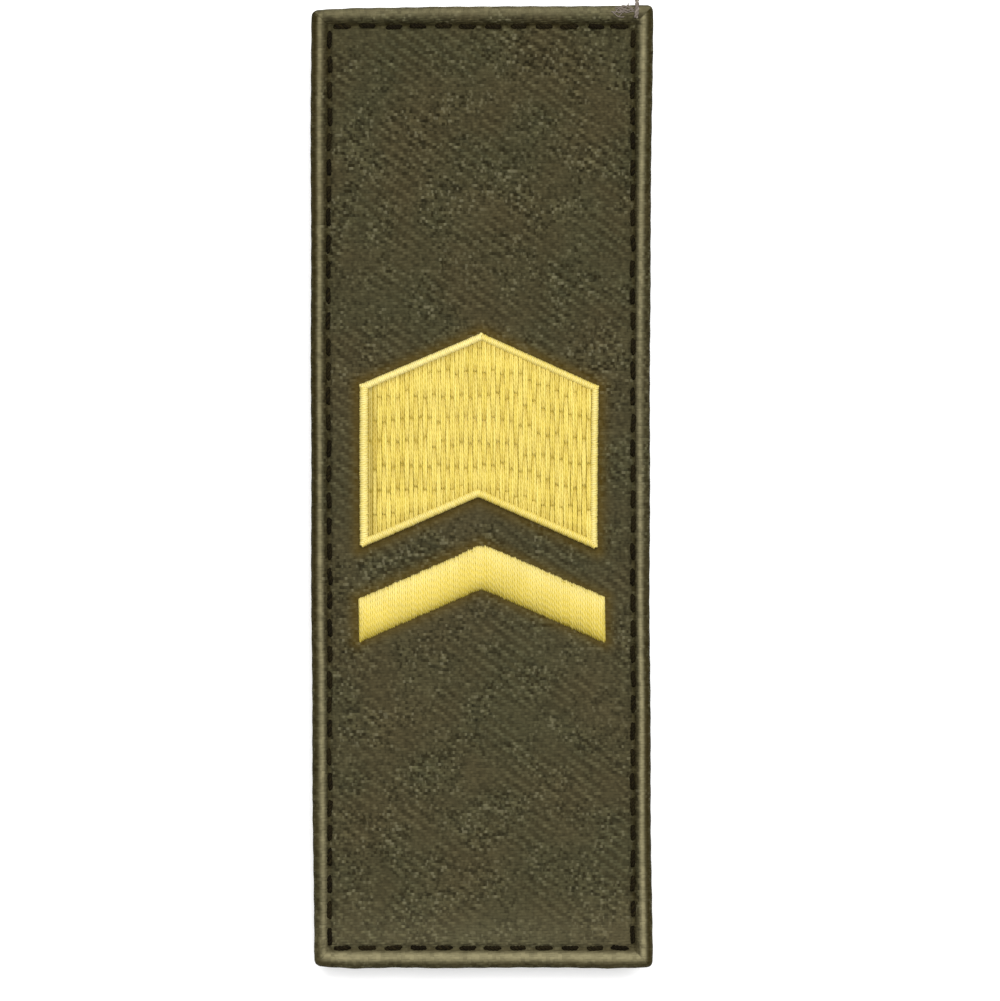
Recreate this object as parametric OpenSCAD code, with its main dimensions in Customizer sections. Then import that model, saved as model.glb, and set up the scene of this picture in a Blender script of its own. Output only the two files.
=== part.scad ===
// Rank insignia: a flat slip-on shoulder slide. A stiffened cloth face with a folded rim and a sewn
// groove carries two embroidered chevrons, and a plain cloth back sewn along the long sides leaves
// an open passage for a shoulder strap. The slide lies on its back with the face up: X across the
// strap, Y along it towards the points of the chevrons, Z up. The origin is the middle of the
// underside.

/* [Face panel] */
// Width of the slide across the strap, over both side rims
slide_w = 50; // [46:1:60]
// Length of the slide along the strap
slide_l = 141; // [120:1:160]
// Thickness of the face panel in its flat field
field_t = 1.7; // [1.4:0.1:2.0]
// Thickness of the face panel at the crest of its folded rim
rim_t = 2.3; // [2.2:0.1:2.6]
// Distance from the edge of the face panel to the line of stitching
stitch_inset = 2.7; // [2.5:0.1:3.2]
// Width of the groove that the stitching pulls into the cloth
groove_w = 0.9; // [0.6:0.1:1.2]

/* [Sleeve back] */
// Clear height of the passage for the strap
passage_h = 4.4; // [4.2:0.1:6]
// Thickness of the back cloth
back_t = 1; // [0.8:0.1:1.4]
// How far each open end of the back stops short of the face panel's end
back_end_inset = 4; // [3.5:0.5:8]
// Width of the flat margin along which the back is sewn under the face panel
seam_margin_w = 3.2; // [2.6:0.1:4.5]
// How far the seam margin stays inside the face panel's edge
seam_edge_inset = 0.6; // [0.3:0.1:1]
// How steeply the back drops away from its seam margin, in degrees
drop_angle = 74; // [55:1:85]

/* [Chevrons] */
// Slope of the chevrons' arms, in degrees
chevron_angle = 23.5; // [15:0.5:30]
// Width of the wide chevron
wide_w = 35.8; // [28:0.2:38]
// Place of the wide chevron's upper point, forward of the middle of the slide
wide_point_y = 22.9; // [20:0.1:30]
// Height of the wide chevron's band, measured along the slide
wide_band = 24; // [18:0.5:26]
// Height of the wide chevron's filling above the cloth
fill_h = 0.7; // [0.5:0.1:1]
// Width of the raised border round the wide chevron
border_w = 1.2; // [1:0.1:1.4]
// Height of that border above the cloth
border_h = 0.9; // [0.7:0.1:1]
// Width of the narrow chevron
narrow_w = 36.4; // [28:0.2:38]
// Place of the narrow chevron's upper point, forward of the middle of the slide
narrow_point_y = -8.5; // [-14:0.1:-8]
// Height of the narrow chevron's band, measured along the slide
narrow_band = 6.3; // [5:0.1:8]
// Height of the narrow chevron's rounded crown above the cloth
narrow_h = 1.2; // [0.8:0.1:1.6]

/* [Hidden] */
$fn = 64;

// Gap left between pieces that are sewn to each other
sewn_gap = 0.05;
// Overrun of a shape past the face that it cuts, or past the middle where it meets its mirror image
over = 1;
// Radius of the face panel's corners, seen from above
corner_r = 1.4;

// Height of the face panel's underside and of its field, and the radius of its rim
panel_z = back_t + passage_h;
field_z = panel_z + field_t;
rim_r = rim_t / 2;

// Depth of the stitching groove, and the radius of its round bottom
groove_depth = 0.4 * groove_w;
groove_r = (groove_w * groove_w / 4 + groove_depth * groove_depth) / (2 * groove_depth);

// Number of flats over the crown of the wide chevron's border
border_sides = 10;

// Width of the band along the face panel's edge that holds the rim and the groove
edge_band_w = stitch_inset + 2 * groove_w;

// The back's side wall is two equal arcs of the cloth's middle layer, one turning down from the
// seam margin and one turning level again at the floor
wall_drop = panel_z - sewn_gap - back_t;
wall_r = wall_drop / (2 * (1 - cos(drop_angle)));
wall_run = 2 * wall_r * sin(drop_angle);
back_half_w = slide_w / 2 - seam_edge_inset;
wall_top_x = back_half_w - seam_margin_w;
wall_foot_x = wall_top_x - wall_run;
back_l = slide_l - 2 * back_end_inset;

olive = "#4f4a35";
olive_back = "#46422f";
yellow = "#e8cf63";
pale_yellow = "#f0da7c";

// Corners of a rectangle about the middle of the slide, anticlockwise
function rectangle(half_x, half_y) =
    [[-half_x, -half_y], [half_x, -half_y], [half_x, half_y], [-half_x, half_y]];

// Outline of a chevron that points forward, anticlockwise from its left lower corner
function chevron(half_w, point_y, band) =
    let (corner_y = point_y - half_w * tan(chevron_angle))
    [[-half_w, corner_y - band], [0, point_y - band], [half_w, corner_y - band],
     [half_w, corner_y], [0, point_y], [-half_w, corner_y]];

// The face panel's outline, moved inwards by a distance
function panel_outline(inwards) = rectangle(slide_w / 2 - inwards, slide_l / 2 - inwards);

// The wide chevron's outline, moved inwards by a distance
function wide_outline(inwards) =
    let (along_y = inwards / cos(chevron_angle))
    chevron(wide_w / 2 - inwards, wide_point_y - along_y, wide_band - 2 * along_y);

// Frame cut from the space between two outlines, mitred at the corners. The child is its section:
// X runs inwards from the outer of the two outlines and Y upwards.
module mitred_frame(outer, inner) {
    for (i = [0 : len(outer) - 1]) {
        next = (i + 1) % len(outer);
        leg = outer[next] - outer[i];
        intersection() {
            translate([outer[i].x, outer[i].y, 0]) rotate([90, 0, 90 + atan2(leg.y, leg.x)])
                translate([0, 0, -over]) linear_extrude(norm(leg) + 2 * over) children();
            linear_extrude(slide_w) polygon([outer[i], outer[next], inner[next], inner[i]]);
        }
    }
}

// Section of the face panel's edge: the folded rim, the groove of the stitching and some field
module rim_section() {
    difference() {
        union() {
            translate([over + rim_r, rim_r]) circle(r = rim_r);
            translate([over + rim_r, 0]) square([edge_band_w - rim_r, field_t]);
        }
        translate([over + stitch_inset, field_t + groove_r - groove_depth]) circle(r = groove_r);
    }
}

// Stiffened face cloth, folded round its edge and pulled in along the stitching
module front_panel() {
    color(olive) translate([0, 0, panel_z]) intersection() {
        union() {
            linear_extrude(field_t) polygon(panel_outline(edge_band_w));
            mitred_frame(panel_outline(-over), panel_outline(edge_band_w)) rim_section();
        }
        linear_extrude(rim_t + over) {
            for (corner = panel_outline(corner_r)) translate(corner) circle(r = corner_r);
            square([slide_w, slide_l - 2 * corner_r], center = true);
            square([slide_w - 2 * corner_r, slide_l], center = true);
        }
    }
}

// Part of a ring about the origin, between two angles less than 90 degrees apart
module ring_part(r, from, to) {
    reach = 2 * (r + back_t);
    intersection() {
        difference() {
            circle(r = r + back_t / 2);
            circle(r = r - back_t / 2);
        }
        polygon([[0, 0], reach * [cos(from), sin(from)], reach * [cos(to), sin(to)]]);
    }
}

// Right half of the back cloth's section, X across and Y up
module back_half_section() {
    margin_y = wall_drop + back_t / 2;
    translate([-over, 0]) square([wall_foot_x + over, back_t]);
    translate([wall_foot_x, wall_r + back_t / 2]) ring_part(wall_r, -90, -90 + drop_angle);
    translate([wall_top_x, margin_y - wall_r]) ring_part(wall_r, 90, 90 + drop_angle);
    translate([wall_top_x, wall_drop]) square([seam_margin_w, back_t]);
}

// Back cloth: a level floor, a curved wall at each side and the two margins sewn under the face
module sleeve_back() {
    color(olive_back) translate([0, back_l / 2, 0]) rotate([90, 0, 0]) linear_extrude(back_l) {
        back_half_section();
        mirror([1, 0]) back_half_section();
    }
}

// Filling of the wide chevron, inside its border
module wide_chevron() {
    color(yellow) translate([0, 0, field_z + sewn_gap])
        linear_extrude(fill_h) polygon(wide_outline(border_w + sewn_gap));
}

// Section of the wide chevron's border, a round cord sunk a little into the cloth. X runs inwards
// from its outer foot, over the crown and down to its inner foot.
function border_section() =
    let (r = border_w / 2, sunk = asin((border_h - r - sewn_gap) / r))
    [for (k = [0 : border_sides])
        let (a = 180 + sunk - k * (180 + 2 * sunk) / border_sides)
        [r + r * cos(a), border_h - r + r * sin(a)]];

// Raised border of the wide chevron: its section carried round the outline
module wide_chevron_border() {
    section = border_section();
    rows = len(section);
    corners = len(wide_outline(0));
    color(pale_yellow) translate([0, 0, field_z]) polyhedron(
        points = [for (s = section) for (corner = wide_outline(s.x)) [corner.x, corner.y, s.y]],
        faces = [for (row = [0 : rows - 1]) for (i = [0 : corners - 1])
            let (next_row = (row + 1) % rows, next = (i + 1) % corners)
            [row * corners + i, next_row * corners + i,
             next_row * corners + next, row * corners + next]]);
}

// Section of a chevron arm: the part of a circle that stands above the cloth
module crown_section(width, height) {
    r = width * width / (8 * height) + height / 2;
    intersection() {
        translate([0, height - r]) circle(r = r, $fn = 96);
        translate([-width, 0]) square([2 * width, 2 * height]);
    }
}

// Narrow chevron: two arms with a rounded crown, mitred at the point and cut off along the slide
module narrow_chevron() {
    across = narrow_band * cos(chevron_angle);
    color(pale_yellow) translate([0, narrow_point_y - narrow_band / 2, field_z + sewn_gap])
        for (side = [0, 1]) mirror([side, 0, 0]) intersection() {
            rotate([0, 0, -chevron_angle]) translate([-narrow_band, 0, 0]) rotate([90, 0, 90])
                linear_extrude(narrow_w) crown_section(across, narrow_h);
            translate([0, -slide_l / 2, -over]) cube([narrow_w / 2, slide_l, narrow_h + 2 * over]);
        }
}

front_panel();
sleeve_back();
wide_chevron();
wide_chevron_border();
narrow_chevron();
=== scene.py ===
"""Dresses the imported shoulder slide: its face cloth with the folded rim and edge stitching, the
embroidered chevrons thread by thread, and the sewn sleeve behind. Shapes are worked out in
millimetres in the frame's own axes: X across the slide, Y along it towards the chevrons' points and
Z up out of the face. make_piece turns them into meshes in metres.
"""

import math

import bpy
import numpy as np
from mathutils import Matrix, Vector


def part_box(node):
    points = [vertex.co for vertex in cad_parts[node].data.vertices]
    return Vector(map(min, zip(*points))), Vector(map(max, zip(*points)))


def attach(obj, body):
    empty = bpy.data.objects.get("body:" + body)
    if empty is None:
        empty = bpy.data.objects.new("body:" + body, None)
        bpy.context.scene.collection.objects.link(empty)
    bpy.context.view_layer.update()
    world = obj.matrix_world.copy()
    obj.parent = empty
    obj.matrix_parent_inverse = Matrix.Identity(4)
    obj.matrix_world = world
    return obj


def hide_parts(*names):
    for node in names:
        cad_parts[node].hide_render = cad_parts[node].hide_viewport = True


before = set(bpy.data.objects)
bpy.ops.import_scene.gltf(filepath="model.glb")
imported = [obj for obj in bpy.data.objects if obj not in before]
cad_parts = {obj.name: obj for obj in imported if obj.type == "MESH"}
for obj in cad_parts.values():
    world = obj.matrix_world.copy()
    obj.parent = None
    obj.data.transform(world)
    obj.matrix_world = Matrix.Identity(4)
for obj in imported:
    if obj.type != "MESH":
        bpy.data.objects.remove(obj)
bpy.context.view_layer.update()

MM = 0.001
TAU = 2 * math.pi

# Every random draw comes from here, in the same order, so each run makes the same slide
rng = np.random.default_rng(11)


def box_mm(node):
    """Lowest and highest corner of a node of the frame, in millimetres."""
    low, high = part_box(node)
    return np.array(low) / MM, np.array(high) / MM


# Sizes that the frame gives
panel_low, panel_high = box_mm("front_panel")
fill_low, _ = box_mm("wide_chevron")
border_low, border_high = box_mm("wide_chevron_border")
narrow_low, narrow_high = box_mm("narrow_chevron")
_, sleeve_high = box_mm("sleeve_back")
HALF_W, HALF_L = panel_high[0], panel_high[1]
PANEL_Z = panel_low[2]
RIM_T = panel_high[2] - PANEL_Z
SEWN_GAP = 0.05
FIELD_Z = fill_low[2] - SEWN_GAP
FIELD_T = FIELD_Z - PANEL_Z

# Rise of the chevrons' arms over their run
CHEVRON_SLOPE = math.tan(math.radians(23.5))

# Edge stitching of the face: the distance of its line from the edge, the length of a stitch with
# its gap, and the share of that length that lies on top
STITCH_INSET = 2.65
STITCH_PITCH = 3.75
STITCH_SHOWS = 0.62

# Yarns of the face cloth: how far apart they lie across the slide and along it, and how many of
# them the twill takes to repeat
WARP_PITCH = 0.6085
WEFT_PITCH = 0.4348
TWILL_YARNS = 4.0

# How far apart the yarns of the back cloth lie, both ways
BACK_YARN_PITCH = 0.45

# Length of thread in which its fibres go once round it
THREAD_TWIST = 0.9


# Shader building


class Wire:
    """An output socket. An expression on wires and numbers adds the Math nodes that work it out."""

    def __init__(self, finish, socket):
        self.finish = finish
        self.socket = socket

    def __add__(self, other):
        return self.finish.maths("ADD", self, other)

    def __sub__(self, other):
        return self.finish.maths("SUBTRACT", self, other)

    def __rsub__(self, other):
        return self.finish.maths("SUBTRACT", other, self)

    def __mul__(self, other):
        return self.finish.maths("MULTIPLY", self, other)

    def __truediv__(self, other):
        return self.finish.maths("DIVIDE", self, other)

    def __pow__(self, other):
        return self.finish.maths("POWER", self, other)

    def __mod__(self, other):
        return self.finish.maths("FLOORED_MODULO", self, other)

    __radd__ = __add__
    __rmul__ = __mul__


class Finish:
    """A material being built."""

    def __init__(self, name):
        self.material = bpy.data.materials.new(name)
        self.material.use_nodes = True
        self.tree = self.material.node_tree
        self.tree.nodes.clear()

    def node(self, kind, settings=None, inputs=None, output=0):
        """Adds a node with its settings, then its inputs by name or number. Gives one output."""
        made = self.tree.nodes.new(kind)
        for name, value in (settings or {}).items():
            setattr(made, name, value)
        for name, value in (inputs or {}).items():
            if isinstance(value, Wire):
                self.tree.links.new(value.socket, made.inputs[name])
            else:
                made.inputs[name].default_value = value
        return Wire(self, made.outputs[output]) if made.outputs else None

    def maths(self, operation, *values):
        return self.node("ShaderNodeMath", {"operation": operation}, dict(enumerate(values)))

    def clamp(self, value):
        return self.node("ShaderNodeClamp", None, {"Value": value})

    def sine(self, turns):
        """A wave from 0 to 1, once in each whole turn."""
        return self.maths("SINE", turns * TAU) * 0.5 + 0.5

    def hump(self, value):
        """Rounded humps, one over each whole number: 0 at both ends and 1 half-way."""
        return 1 - (value % 1.0 * 2 - 1) ** 2.0

    def ease(self, value, start, end):
        """Rises smoothly from 0 at start to 1 at end."""
        settings = {"interpolation_type": "SMOOTHSTEP"}
        return self.node("ShaderNodeMapRange", settings, {"Value": value, 1: start, 2: end})

    def blend(self, share, colour, other):
        """A colour that goes from colour to other as share goes from 0 to 1."""
        return self.node("ShaderNodeMix", {"data_type": "RGBA"}, {0: share, 6: colour, 7: other}, 2)

    def shade(self, colour, strength):
        """A colour made lighter or darker by a value."""
        grey = self.node("ShaderNodeCombineColor", None, {i: strength for i in range(3)})
        settings = {"data_type": "RGBA", "blend_type": "MULTIPLY"}
        return self.node("ShaderNodeMix", settings, {0: 1.0, 6: colour, 7: grey}, 2)

    def stored(self, name, output="Fac"):
        """A value that the mesh holds at its points."""
        return self.node("ShaderNodeAttribute", {"attribute_name": name}, None, output)

    def parts(self, vector):
        """The three parts of a vector."""
        made = self.node("ShaderNodeSeparateXYZ", None, {0: vector})
        return [Wire(self, socket) for socket in made.socket.node.outputs]

    def vector(self, x, y, z=0.0):
        return self.node("ShaderNodeCombineXYZ", None, {0: x, 1: y, 2: z})

    def place(self):
        """The point's place on the object, in metres."""
        return self.node("ShaderNodeTexCoord", None, None, "Object")

    def cloudy(self, vector, scale, detail=2.0):
        """Soft random patches from 0 to 1, scale of them to a metre."""
        inputs = {"Vector": vector, "Scale": scale, "Detail": detail}
        return self.node("ShaderNodeTexNoise", None, inputs)

    def speckle(self, x, y):
        """One random value from 0 to 1 for each pair of whole numbers."""
        settings = {"noise_dimensions": "2D"}
        return self.node("ShaderNodeTexWhiteNoise", settings, {"Vector": self.vector(x, y)})

    def raised(self, height, depth):
        """A normal that shows height as relief, depth metres from its 0 to its 1."""
        return self.node("ShaderNodeBump", None, {"Height": height, "Distance": depth})

    def surface(self, colour, roughness, normal, **constants):
        """Ends the material with its shader, and gives the material."""
        inputs = {"Base Color": colour, "Roughness": roughness, "Normal": normal, **constants}
        shader = self.node("ShaderNodeBsdfPrincipled", None, inputs)
        self.node("ShaderNodeOutputMaterial", None, {"Surface": shader})
        return self.material


def shade_of(red, green, blue):
    """A colour for a socket from its 0 to 255 screen values."""
    screen = np.array([red, green, blue]) / 255
    linear = np.where(screen <= 0.04045, screen / 12.92, ((screen + 0.055) / 1.055) ** 2.4)
    return (*linear.tolist(), 1.0)


def twill(f, place):
    """The weave of the face cloth: how far each point is on a float rather than in a dive, the
    weave's relief, the place across the yarns, stepped on by one yarn a row, and the place along
    them, in rows."""
    across, along, _ = f.parts(f.stored("weave", "Vector"))
    # The yarns don't lie quite straight
    warp = (across + 0.5 * f.cloudy(place, 260.0)) / WARP_PITCH
    weft = (along + 0.4 * f.cloudy(place, 210.0)) / WEFT_PITCH
    stepped = warp + f.maths("FLOOR", weft)
    step = stepped % TWILL_YARNS / TWILL_YARNS
    floating = f.ease(step, 0.0, 0.22) * (1 - f.ease(step, 0.46, 0.68))
    relief = floating * (f.hump(weft) * 0.7 + 0.3) + (1 - floating) * f.hump(warp) * 0.4
    return floating, relief, stepped, weft


def face_cloth_finish():
    """Olive face cloth: a twill, whose ribs run down to the right and show more in some patches
    than in others, with painted shade in its dives. Its yarns are flecked. The cloth is painted
    paler along the fold of the rim, for wear and a highlight, and a little towards the lower end.
    It has painted shade where stitching presses it down, outside the fold and round the embroidery,
    and painted yellow light that the embroidery reflects onto it."""
    f = Finish("olive_face_twill")
    place = f.place()
    floating, relief, stepped, weft = twill(f, place)
    row = f.maths("FLOOR", weft)
    fleck = f.speckle(f.maths("FLOOR", stepped), row)
    # Where the flecks are strong, and where the ribs show
    cluster = f.ease(f.cloudy(place, 200.0), 0.36, 0.64)
    ribbed = 0.1 + 1.2 * f.ease(f.cloudy(place, 130.0, 3.0), 0.4, 0.62)
    # Each yarn has flecks of its own, which run along it
    grain = f.cloudy(f.vector(stepped * 1.2, row * 5.37, 0.5), 1.0, 0.0)
    # Neighbouring yarns are darker or paler together in spots about a float wide
    spots = f.cloudy(f.vector(stepped * 0.9, weft * 0.62, 2.5), 1.0, 0.0)
    patches = f.ease(f.cloudy(place, 100.0, 3.0), 0.3, 0.7)
    # Painted shade: the dives are darker than the floats, and the yarns darker where their relief
    # is low
    float_colour = f.blend(patches, shade_of(69, 63, 42), shade_of(65, 63, 43))
    dive_colour = f.blend(patches, shade_of(55, 49, 31), shade_of(52, 49, 31))
    cloth = f.blend(f.clamp(0.5 + (floating - 0.5) * ribbed), dive_colour, float_colour)
    flecked = 0.41 + (fleck - 0.5) * (0.05 + 0.4 * cluster) + 0.86 * grain + 0.06 * relief
    cloth = f.shade(cloth, flecked + (spots - 0.5) * (0.2 + 0.9 * cluster))
    dark_fleck = (1 - f.ease(grain, 0.25, 0.38)) * (0.04 + 0.8 * cluster)
    pale_fleck = f.ease(grain, 0.63, 0.78) * (0.02 + 0.5 * cluster)
    cloth = f.blend(dark_fleck, cloth, shade_of(31, 27, 13))
    cloth = f.blend(pale_fleck, cloth, shade_of(100, 96, 74))
    # Painted paler along the fold, for its wear and a painted highlight, and a little towards the
    # lower end
    wear_and_light_share = f.clamp(f.stored("wear_and_light") * (0.8 + 0.4 * fleck))
    cloth = f.blend(wear_and_light_share, cloth, shade_of(124, 117, 88))
    # Painted shade where stitching presses the cloth down, on the fold's outer side and round the
    # embroidery
    cloth = f.blend(0.6 * f.stored("painted_shade"), cloth, shade_of(36, 29, 4))
    # Painted yellow light that the embroidery reflects onto the cloth beside it
    cloth = f.blend(0.36 * f.stored("painted_yellow_bounce"), cloth, shade_of(90, 70, 12))
    return f.surface(cloth, 0.95, f.raised(relief, 0.0001), **{"Specular IOR Level": 0.05})


def back_cloth_finish():
    """Olive back cloth in plain weave, painted darker in the gaps between its yarns."""
    f = Finish("olive_back_weave")
    across, along, _ = f.parts(f.stored("weave", "Vector"))
    warp, weft = across / BACK_YARN_PITCH, along / BACK_YARN_PITCH
    warp_number, weft_number = f.maths("FLOOR", warp), f.maths("FLOOR", weft)
    over = (warp_number + weft_number) % 2.0
    warp_hump, weft_hump = f.hump(warp), f.hump(weft)
    relief = over * warp_hump * (0.5 + 0.5 * weft_hump)
    relief = relief + (1 - over) * weft_hump * (0.5 + 0.5 * warp_hump)
    patches = f.ease(f.cloudy(f.place(), 90.0, 3.0), 0.35, 0.65)
    cloth = f.blend(patches, shade_of(78, 74, 53), shade_of(75, 74, 53))
    fleck = f.speckle(warp_number, weft_number)
    # Painted shade in the gaps between yarns, and random flecks on their humps
    cloth = f.shade(cloth, 0.8 + 0.3 * fleck * relief + 0.1 * over)
    return f.surface(cloth, 0.9, f.raised(relief, 0.00012), **{"Specular IOR Level": 0.15})


def thread(name, in_shade, in_light, sheen, roughness, specular):
    """Thread painted in its colour in shade where it dives and in its colour in light where it
    stands up, and that goes to a colour of painted sheen with its sheen tone and the twist of its
    fibres. A lift under 0 paints it in further shade. Its fibres twist along it, and its dye is a
    little patchy."""
    f = Finish(name)
    along, around, lift = f.parts(f.stored("strand", "Vector"))
    twist = f.sine(along / THREAD_TWIST + around * 2.0)
    colour = f.blend(f.clamp(lift), shade_of(*in_shade), shade_of(*in_light))
    sheen_share = f.clamp(f.stored("sheen_tone") * 0.6 + (twist - 0.5) * 0.3)
    colour = f.blend(sheen_share, colour, shade_of(*sheen))
    shaded = f.maths("MINIMUM", lift, 0.0)
    colour = f.shade(colour, 0.9 + 0.2 * f.cloudy(f.place(), 250.0) + 0.3 * shaded)
    constants = {"Specular IOR Level": specular}
    return f.surface(colour, roughness, f.raised(twist, 0.00003), **constants)


# Mesh building


def make_piece(name, points, faces, material, stored):
    """Makes a smooth piece from points in millimetres, riding on the slide. stored holds the values
    kept at its points, one number or three for each point."""
    mesh = bpy.data.meshes.new(name)
    mesh.from_pydata((points * MM).tolist(), [], faces)
    for key, values in stored.items():
        kind = "FLOAT_VECTOR" if values.ndim == 2 else "FLOAT"
        field = "vector" if values.ndim == 2 else "value"
        layer = mesh.attributes.new(key, kind, "POINT")
        layer.data.foreach_set(field, values.astype(np.float32).ravel())
    mesh.shade_smooth()
    mesh.materials.append(material)
    piece = bpy.data.objects.new(name, mesh)
    bpy.context.scene.collection.objects.link(piece)
    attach(piece, "root")
    return piece


def quads_between(ids):
    """Quads over a grid of point numbers, facing up where the first index runs along X and the
    second along Y."""
    corners = [ids[:-1, :-1], ids[1:, :-1], ids[1:, 1:], ids[:-1, 1:]]
    return np.stack(corners, -1).reshape(-1, 4)


def walls_between(loops):
    """Quads between each closed loop of point numbers and the next, as a list."""
    loops = np.array(loops)
    return quads_between(np.concatenate([loops, loops[:, :1]], axis=1).T).tolist()


def rim_of(grid):
    """The point numbers round a grid, anticlockwise from its first."""
    return np.concatenate([grid[:-1, 0], grid[-1, :-1], grid[:0:-1, -1], grid[0, :0:-1]])


def eased(value, start, end):
    """Rises smoothly from 0 at start to 1 at end."""
    t = np.clip((value - start) / (end - start), 0, 1)
    return t * t * (3 - 2 * t)


def dip(distance, width):
    """A smooth dip that is 1 at no distance and gone a few widths away."""
    return np.exp(-((distance / width) ** 2))


def ways_round(paths):
    """The way to the side and the way up at each point of some paths."""
    along = np.gradient(paths, axis=1)
    along /= np.linalg.norm(along, axis=2, keepdims=True)
    side = np.cross([0.0, 0.0, 1.0], along)
    side /= np.linalg.norm(side, axis=2, keepdims=True)
    return side, np.cross(along, side)


class Strands:
    """Many lengths of thread, gathered into one mesh. Each is a flattened tube that thins out at
    both ends."""

    SIDES = 6

    def __init__(self):
        self.points, self.faces, self.strand, self.sheen_tone = [], [], [], []
        self.count = 0

    def lay(self, paths, width, thickness, lift=None, sheen_tone=None, tip=0.12):
        """Adds threads along paths, an array of threads by points by three. The width and the
        thickness are one number, or one for each point, and the sheen tone, which sets its painted
        sheen, one for each thread or point. tip is the share of its width that a thread keeps at
        its ends."""
        threads, steps, _ = paths.shape
        width = np.broadcast_to(width, (threads, steps))[:, :, None, None]
        thickness = np.broadcast_to(thickness, (threads, steps))[:, :, None, None]
        lift = np.ones((threads, steps)) if lift is None else lift
        sheen_tone = rng.random(threads) if sheen_tone is None else sheen_tone
        sheen_tone = np.broadcast_to(sheen_tone.reshape(threads, -1), (threads, steps))
        side, up = ways_round(paths)
        turn = np.arange(self.SIDES) / self.SIDES
        angle = (turn - 0.25) * TAU
        ends = np.minimum(np.arange(steps), np.arange(steps)[::-1])
        thin = np.where(ends == 0, tip, 1.0)[None, :, None, None]
        offset = side[:, :, None, :] * np.cos(angle)[None, None, :, None] * width / 2
        offset = offset + up[:, :, None, :] * np.sin(angle)[None, None, :, None] * thickness / 2
        self.points.append((paths[:, :, None, :] + offset * thin).reshape(-1, 3))
        reach = np.cumsum(np.linalg.norm(np.diff(paths, axis=1, prepend=paths[:, :1]), axis=2), 1)
        shape = (threads, steps, self.SIDES)
        around = turn + rng.random((threads, 1, 1))
        parts = [reach[:, :, None], around, lift[:, :, None]]
        parts = [np.broadcast_to(part, shape).ravel() for part in parts]
        self.strand.append(np.stack(parts, -1))
        self.sheen_tone.append(np.repeat(sheen_tone.ravel(), self.SIDES))
        ids = self.count + np.arange(threads * steps * self.SIDES).reshape(shape)
        next_ids = np.roll(ids, -1, axis=2)
        sides = [ids[:, :-1], next_ids[:, :-1], next_ids[:, 1:], ids[:, 1:]]
        self.faces += np.stack(sides, -1).reshape(-1, 4).tolist()
        self.faces += ids[:, 0, ::-1].tolist() + ids[:, -1].tolist()
        self.count += ids.size

    def lay_solid(self, points, faces, lift, sheen_tone):
        """Adds a padding solid under the threads."""
        self.points.append(points)
        self.strand.append(np.tile([0.0, 0.0, lift], (len(points), 1)))
        self.sheen_tone.append(np.full(len(points), sheen_tone))
        self.faces += [[self.count + i for i in face] for face in faces]
        self.count += len(points)

    def piece(self, name, material, slot):
        """Makes one piece of all that was laid."""
        stored = {"strand": np.concatenate(self.strand), "sheen_tone": np.concatenate(self.sheen_tone)}
        return make_piece(name, np.concatenate(self.points), self.faces, material, stored)


# Face cloth

# Radius of the face's corners, seen from above, and of its folded rim
CORNER_R = 1.0
RIM_R = RIM_T / 2

# How far inside the edge the field's even grid starts, how far apart its points lie, and how far
# the turned-in hem reaches
FIELD_INSET = 4.8
CELL = 0.42
HEM_INSET = 4.3

# Insets between which the rim falls to the field, the height of the field's low waves, and how far
# the embroidery pulls the cloth down along its edges
RIM_FALL = (1.5, 2.6)
FIELD_SLACK = 0.07
EMBROIDERY_PULL = 0.18

# Groove of the edge stitching: its depth and half of its width, how much deeper it is at the holes,
# how high the cloth beside the gaps puffs up, and how far the cloth around is drawn down
GROOVE_DEPTH = 0.34
GROOVE_HALF_W = 0.46
HOLE_DEPTH = 0.2
PUFF_HEIGHT = 0.06
DRAWN_DEPTH = 0.08

# Height above its underside from which the face cloth shows on top
UPPER_SIDE = 1.0

# How far further out than elsewhere two rows of edge stitches run: the left one, most at one place
# and less over a length on both sides of it, and the one along the lower end
LEFT_SEAM_OUT = 0.22
LEFT_SEAM_Y = 25
LEFT_SEAM_SPREAD = 22
LOWER_SEAM_OUT = 0.12

# Length beside each corner over which it moves out with both of its sides
CORNER_RUN = 4


def stitch_wave(along, half):
    """How far along its stitch a point lies, from 0 to 1, and the length of a stitch."""
    stitches = round(2 * half / STITCH_PITCH)
    return (along + half) / (2 * half) * stitches % 1, 2 * half / stitches


def seam_out(x, y):
    """How far further out the row of edge stitches nearest to a point runs: the one along the
    slide, and the one across it."""
    left = LEFT_SEAM_OUT * dip(y - LEFT_SEAM_Y, LEFT_SEAM_SPREAD) * (x < 0)
    return left, LOWER_SEAM_OUT * (y < 0)


def insets(x, y):
    """Distance inwards from the nearer long side of the face, and from its nearer end."""
    return HALF_W - np.abs(x), HALF_L - np.abs(y)


def from_seams(x, y):
    """Distance inwards from the nearest row of edge stitches along the slide, and across it."""
    return [inset - STITCH_INSET + out for inset, out in zip(insets(x, y), seam_out(x, y))]


def row_shade(away):
    """How much painted shade lies along a row of stitches, on the cloth that it presses down."""
    return 0.85 * dip(away + 0.25, 0.4)


def stitch_pull(away, along, half):
    """How far a row of stitches draws the cloth down, away being the distance from the row. It does
    so most at the holes of the stitches, and the cloth beside the gaps between them puffs up."""
    wave, length = stitch_wave(along, half)
    to_hole = np.abs(np.abs(wave - 0.5) - STITCH_SHOWS / 2) * length
    groove = (GROOVE_DEPTH + HOLE_DEPTH * dip(to_hole, 0.5)) * dip(away, GROOVE_HALF_W)
    puff = PUFF_HEIGHT * np.cos(TAU * wave) * dip(away - 0.9, 0.9)
    return groove - puff + DRAWN_DEPTH * dip(away, 1.3)


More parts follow.
